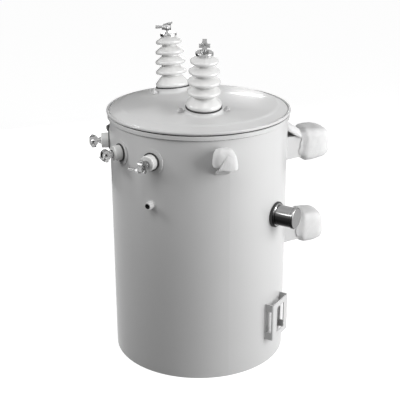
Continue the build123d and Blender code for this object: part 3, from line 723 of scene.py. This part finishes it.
for level, seed, extra in (("upper", 26, 0.0170), ("lower", 31, 0.0085)):
    name = f"support_foam_{level}"
    low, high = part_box(name)
    lug_low, lug_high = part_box(f"support_lug_{level}")
    wide, tall = (high.x - low.x) / 2, (high.z - low.z) / 2
    wrap = foam_pocket(f"foam_wrap_{level}", (0, low.y - WRAP_RIM, (low.z + high.z) / 2),
                       TO_POLE, TO_LEFT, UP,
                       outer=(wide + WRAP_SWELL, tall + WRAP_SWELL),
                       inner=((lug_high.x - lug_low.x) / 2 + CHEEK_CLEARANCE,
                              tall - WRAP_SHEET),
                       powers=(4.6, 16.0, 4.6), length=high.y - low.y + extra,
                       depth=lug_high.y - low.y + FACE_CLEARANCE,
                       ragged=0.005, seed=seed, lip=0.020)
    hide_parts(name)
    print(name, "wrap", round(high.y - low.y + extra, 4), "long")

# %% [markdown]
# On the upper pole lug a strip of the same foam lies back along the sloping edges to the wall
# and hangs over both cheeks like a saddle. Its middle surface is worked out first, as a bent
# sheet: flat across the lug, down at both sides, and rounded at the two folds by a bell curve.
# It is made a pad as the flaps are.

# %% Strip over the slope
STRIP_CLEARANCE = 0.0068        # the middle of the sheet, over the slope
SKIRT = 0.020                   # how far it hangs down at each side
FOLD_ROUND, FOLD_SPREAD = 0.006, 0.007

lug_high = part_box("support_lug_upper")[1]
wrap_low, wrap_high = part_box("support_foam_upper")
slope_top = np.array([0.0, tank_radius + 0.0065, lug_high.z - 0.0040])
slope_foot = np.array([0.0, wrap_low.y - 0.0030, wrap_high.z - 0.0098])
half = lug_high.x + 0.0058
across = np.linspace(-1, 1, 61)
past_fold = np.abs(across) * (half + SKIRT) - half
hang = np.clip(past_fold, 0, None)
side = np.sign(across) * np.minimum(np.abs(across) * (half + SKIRT), half)
bend = FOLD_ROUND * np.exp(-(past_fold / FOLD_SPREAD) ** 2)
run = np.linspace(0, 1, 41)[:, None, None]
section = np.stack([side - np.sign(across) * bend, 0 * side,
                    STRIP_CLEARANCE - hang - bend * 0.6], axis=-1)
sheet = slope_top * (1 - run) + slope_foot * run + section[None]
pad_from_sheet("foam_strip_upper", sheet, 0.0050, 6.0, 41)
print("strip", round(float(np.linalg.norm(slope_foot - slope_top)), 4), "long")

# %% [markdown]
# ## Weld beads
# Everything on the wall is welded on. A curve with a round bevel would make a bead too, but an
# even one. Worked out point by point, its radius can swell and shrink with each dip of the
# rod. A bead is half sunk into its corner, and painted over.


# %% A bead along any path
DIP = 0.0032                    # from one dip of the rod to the next


def close_ends(piece, rows, columns):
    """Closes both ends of a tube with one many-sided face each."""
    shape = bmesh.new()
    shape.from_mesh(piece.data)
    shape.verts.ensure_lookup_table()
    shape.faces.new([shape.verts[i] for i in range(columns)])
    shape.faces.new([shape.verts[(rows - 1) * columns + i] for i in range(columns)])
    bmesh.ops.recalc_face_normals(shape, faces=shape.faces)
    shape.to_mesh(piece.data)
    shape.free()


def bead(name, path, radius, seed, closed=False):
    """Tube along a path of points. Its radius is the given one times a ripple: a row of small
    arches, one for each dip, with slow chance changes on top. An open tube is rounded off at
    both ends by the root of the distance from the end."""
    path = np.asarray(path, float)
    if closed:
        run = np.roll(path, -1, 0) - np.roll(path, 1, 0)
    else:
        run = np.gradient(path, axis=0)
    run /= np.linalg.norm(run, axis=1, keepdims=True)
    out = path * [1, 1, 0]
    out /= np.linalg.norm(out, axis=1, keepdims=True)
    side = np.cross(run, out)
    side /= np.linalg.norm(side, axis=1, keepdims=True)
    out = np.cross(side, run)
    gone = np.concatenate([[0], np.cumsum(np.linalg.norm(np.diff(path, axis=0), axis=1))])
    arch = 0.86 + 0.16 * np.abs(np.sin(np.pi * gone / DIP))
    size = radius * arch * (1 + 0.12 * lumps(path, 0.02, seed))
    if not closed:
        ends = np.minimum(gone, gone[-1] - gone) / (1.5 * radius)
        size = size * np.sqrt(np.clip(ends, 0.0004, 1))
    u = np.linspace(0, 2 * np.pi, 12, endpoint=False)
    points = (path[:, None] + (side[:, None] * np.cos(u)[:, None]
                               + out[:, None] * np.sin(u)[:, None]) * size[:, None, None])
    piece = grid_mesh(name, points, closed_u=True, closed_v=closed)
    if not closed:
        close_ends(piece, len(path), len(u))
    return hand_over(piece, paint)


def on_wall(angle, along, height):
    """Points on the tank's wall at a height. along is the distance round it from an angle."""
    turn = math.radians(angle) + np.asarray(along) / tank_radius
    z = np.broadcast_to(height, turn.shape)
    return np.stack([tank_radius * np.sin(turn), -tank_radius * np.cos(turn), z], axis=-1)


def joint(angle, corners, step=0.0008):
    """Points on the wall every step metres, on straight runs between corners. A corner is
    (distance round the wall from the angle, height)."""
    corners = np.asarray(corners, float)
    runs = np.linalg.norm(np.diff(corners, axis=0), axis=1)
    gone = np.concatenate([[0], np.cumsum(runs)])
    at = np.arange(0, gone[-1], step)
    return on_wall(angle, np.interp(at, gone, corners[:, 0]), np.interp(at, gone, corners[:, 1]))


def round_the_wall(distance):
    """Length along the wall to a point that is this far to the side in a straight line."""
    return math.asin(distance / tank_radius) * tank_radius


print("20 mm across is", round(round_the_wall(0.020) * 1000, 3), "mm along the wall")


# %% Beads round the lugs' feet
LIFTING_HALF, GROUND_HALF = 0.018, 0.012    # half widths of the feet
FOOT_BEAD, CHEEK_BEAD = 0.0021, 0.0023      # radii
FOOT_RISE = 0.0015          # the bead's middle, above the lower edge
FOOT_SIDE = 0.009           # how far it goes up at both sides
FOOT_WIDER = 0.0005
CHEEK_END = 0.002           # what stays bare at each end of a cheek

feet = [("lifting_lug_right", LIFTING_ANGLES["right"], LIFTING_HALF),
        ("lifting_lug_left", LIFTING_ANGLES["left"], LIFTING_HALF),
        ("ground_lug", GROUND_ANGLE, GROUND_HALF)]
for name, angle, half in feet:
    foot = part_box(name)[0].z + FOOT_RISE
    corners = [(-half, foot + FOOT_SIDE), (-half - FOOT_WIDER, foot),
               (half + FOOT_WIDER, foot), (half, foot + FOOT_SIDE)]
    run = bead(f"weld_{name}", joint(angle, corners), FOOT_BEAD, seed=3)
    print(run.name, len(run.data.vertices), "points")

for level in ("upper", "lower"):
    low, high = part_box(f"support_lug_{level}")
    for way, edge in (("left", low.x), ("right", high.x)):
        lean = round_the_wall(abs(edge)) * np.sign(-edge)
        corners = [(lean, low.z + CHEEK_END), (lean, high.z - CHEEK_END)]
        run = bead(f"weld_support_{level}_{way}", joint(POLE_ANGLE, corners), CHEEK_BEAD, seed=7)
        print(run.name, len(run.data.vertices), "points")

# %% Beads of the bracket and the pipe
BRACKET_HALF = 0.047
BRACKET_END = 0.003         # what stays bare at each end
PIPE_BEAD_WIDE, PIPE_BEAD_TALL = 0.0114, 0.0112     # half widths of the ring of weld

low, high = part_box("slotted_bracket")
half = round_the_wall(BRACKET_HALF)
for way, side in (("left", -half), ("right", half)):
    corners = [(side, low.z + BRACKET_END), (side, high.z - BRACKET_END)]
    bead(f"weld_bracket_{way}", joint(BRACKET_ANGLE, corners), 0.0018, seed=9)

pipe_low, pipe_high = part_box("relief_pipe")
pipe_z = (pipe_low.z + pipe_high.z) / 2
turn = np.linspace(0, 2 * np.pi, 90, endpoint=False)
circle = on_wall(PIPE_ANGLE, PIPE_BEAD_WIDE * np.cos(turn), pipe_z + PIPE_BEAD_TALL * np.sin(turn))
bead("weld_relief_pipe", circle, 0.0013, seed=12, closed=True)

# %% [markdown]
# ## Threads
# The clamp bolts are threaded. A screw modifier could wind a profile, but its ends would stay
# open. Here a thread is a sleeve whose radius follows a rounded wave that climbs one pitch per
# turn, so the ridges are in the shape itself and the grid stays straight.


# %% Threads on the clamp bolts
def square_axes(along):
    """The direction along at length one, and two directions square to it and each other."""
    along = np.asarray(along, float)
    along = along / np.linalg.norm(along)
    side = np.cross(along, UP) if abs(along[2]) < 0.9 else np.cross(along, [1.0, 0, 0])
    side /= np.linalg.norm(side)
    return along, side, np.cross(along, side)


def thread(name, start, along, length, root, crest, pitch):
    """Sleeve from start in the direction along. Its radius is root, plus the ridge's height
    times one half plus half the cosine of the phase, which is the climb in pitches less the
    turn."""
    along, side, third = square_axes(along)
    u = np.linspace(0, 2 * np.pi, 20, endpoint=False)
    v = np.linspace(0, length, max(8, int(length / pitch * 8)))
    phase = 2 * np.pi * v[:, None] / pitch - u
    size = root + (crest - root) * (0.5 + 0.5 * np.cos(phase))
    size[0] = size[-1] = root * 0.9
    around_it = side * np.cos(u)[:, None] + third * np.sin(u)[:, None]
    points = (np.asarray(start) + along * v[:, None, None]
              + around_it[None] * size[..., None])
    piece = grid_mesh(name, points, closed_u=True)
    close_ends(piece, len(v), len(u))
    return hand_over(piece, tinned)


LV_BOLT_OUT, LV_BOLT_DROP = 0.0480, 0.012   # the cross bolt, from the wall and the bushing
LV_BODY_HALF = 0.0152                       # the thread starts at the terminal's side
LV_BOLT_REACH = (0.026, 0.026, 0.040)
BOLT_EXTRA = 0.0002

porcelain_low, porcelain_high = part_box("lv_porcelain_1")
lv_z = (porcelain_low.z + porcelain_high.z) / 2
for number, (angle, reach) in enumerate(zip(LV_ANGLES, LV_BOLT_REACH), start=1):
    bolt = outward(angle) * (tank_radius + LV_BOLT_OUT) + UP * (lv_z - LV_BOLT_DROP)
    start = bolt - sideways(angle) * LV_BODY_HALF
    thread(f"thread_lv_{number}", start, -sideways(angle), reach - LV_BODY_HALF + BOLT_EXTRA,
           0.0041, 0.0047, 0.0018)
    print("thread", number, "ends", round(reach, 3), "from the bolt's middle")

# %% [markdown]
# ## Nuts, and painted shade in the pipe and under the band
# The rest is turned work: a profile of heights and radii spun round an axis. A nut could be a
# six-sided cylinder with a bevel, but a real nut's corners are cut back by a cone. So it is
# turned as well, and its radius is held inside a hexagon.


# %% Turned pieces
def turned(name, foot, axis, profile, material, flats=0, columns=48):
    """Closed surface of revolution from the point foot along axis. profile is a list of
    (height, radius) from pole to pole. With flats, a radius is cut to that of a polygon:
    the apothem over the cosine of the angle from the nearest flat's middle."""
    axis, side, third = square_axes(axis)
    u = np.linspace(0, 2 * np.pi, columns, endpoint=False)
    height, radius = np.asarray(profile, float).T
    size = np.broadcast_to(radius[:, None], (len(radius), columns))
    if flats:
        half = np.pi / flats
        apothem = radius.max() * math.cos(half)
        size = np.minimum(size, apothem / np.cos((u + half) % (2 * half) - half))
    points = (np.asarray(foot) + axis * height[:, None, None]
              + side * (np.cos(u) * size)[..., None] + third * (np.sin(u) * size)[..., None])
    piece = grid_mesh(name, points, closed_u=True)
    close_poles(piece)
    return hand_over(piece, material)


def nut(name, foot, axis, radius, height):
    """Hexagon nut with both ends chamfered at 30 degrees."""
    cut = radius * 0.13
    rise = cut * math.tan(math.radians(30))
    profile = [(0, 0), (0, radius - cut), (rise, radius), (height - rise, radius),
               (height, radius - cut), (height, 0)]
    return turned(name, foot, axis, profile, tinned, flats=6)


# %% Nuts on the high voltage clamps
HV_AIM = {"right": 71.0, "left": -19.0}     # where the clamps point, round the tank
BAR_HALF = 0.0046                           # half the width of the clamp's bar
TIP_TO_BARREL = 0.035
TIP_DROP = 0.0144                           # from the terminal's top to the bar's middle

for side, angle in HV_AIM.items():
    low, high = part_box(f"hv_terminal_{side}")
    aim, across = outward(angle), sideways(angle)
    far_x = high.x if aim[0] > 0 else low.x
    tip = np.array([far_x - np.sign(aim[0]) * abs(across[0]) * BAR_HALF,
                    low.y + abs(across[1]) * BAR_HALF, high.z - TIP_DROP])
    barrel = tip - aim * TIP_TO_BARREL
    for way, which in ((-1, "in"), (1, "out")):
        nut(f"hv_nut_{side}_{which}", barrel + aim * 0.0042 + across * way * 0.0078,
            across * way, 0.0052, 0.0068)
    thread(f"thread_hv_{side}", barrel + aim * 0.0170, aim, 0.0060, 0.0033, 0.0038, 0.0015)
    print(side, "barrel at", [round(float(c), 4) for c in barrel])

# %% Nuts and set screws on the low voltage terminals
SCREW_HEAD = [(0, 0), (0, 0.0042), (0.0030, 0.0042), (0.0038, 0.0034), (0.0038, 0.0018),
              (0.0020, 0.0016), (0.0020, 0)]    # with a round hollow for the key

for number, angle in enumerate(LV_ANGLES, start=1):
    way_out = outward(angle)
    nut(f"lv_nut_{number}", way_out * (tank_radius + 0.0271) + UP * lv_z, way_out,
        0.0090, 0.0050)
    turned(f"lv_set_screw_{number}", way_out * (tank_radius + 0.0485) + UP * (lv_z + 0.0134),
           UP, SCREW_HEAD, tinned)
print("low voltage terminals", number)

# %% [markdown]
# The mouth of the pipe is dark. A hole alone would show the pale paint inside in some light,
# so the pipe gets a thin black cup with a rolled rim: painted shade inside the bore. A black
# ring under the stiffening band below the rim is painted shade too: it draws the thin dark line
# that the band's shadow makes round the tank. It is a ring: a small circle carried round a large
# one.

# %% Painted shade: the pipe's cup and the band's ring
PIPE_CUP = [(0, 0), (0, 0.0071), (0.0168, 0.0071), (0.0174, 0.0068), (0.0168, 0.0066),
            (0.0008, 0.0064), (0.0006, 0)]
SHADOW_RING_RADIUS = 0.0010
SHADOW_RING_OUT, SHADOW_RING_DROP = 0.0006, 0.0004    # its middle, from the wall and the band

way_out = outward(PIPE_ANGLE)
# A black cup in the bore: painted shade.
turned("pipe_painted_shade_cup", way_out * (tank_radius + 0.002) + UP * pipe_z, way_out,
       PIPE_CUP, rubber)

# A black ring under the band: painted shade in place of the band's shadow line.
band_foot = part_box("rim_band")[0].z
turn = np.linspace(0, 2 * np.pi, 360, endpoint=False)
path = np.column_stack([(tank_radius + SHADOW_RING_OUT) * np.sin(turn),
                        -(tank_radius + SHADOW_RING_OUT) * np.cos(turn),
                        np.full(len(turn), band_foot - SHADOW_RING_DROP)])
u = np.linspace(0, 2 * np.pi, 10, endpoint=False)
circles = (path[:, None] + path[:, None] * [1, 1, 0] / tank_radius
           * (SHADOW_RING_RADIUS * np.cos(u))[:, None]
           + UP * (SHADOW_RING_RADIUS * np.sin(u))[:, None])
painted_shadow_ring = grid_mesh("band_painted_shadow", circles, closed_u=True, closed_v=True)
close_poles(painted_shadow_ring)
hand_over(painted_shadow_ring, rubber)
print("painted_shadow_ring", len(painted_shadow_ring.data.vertices), "points")
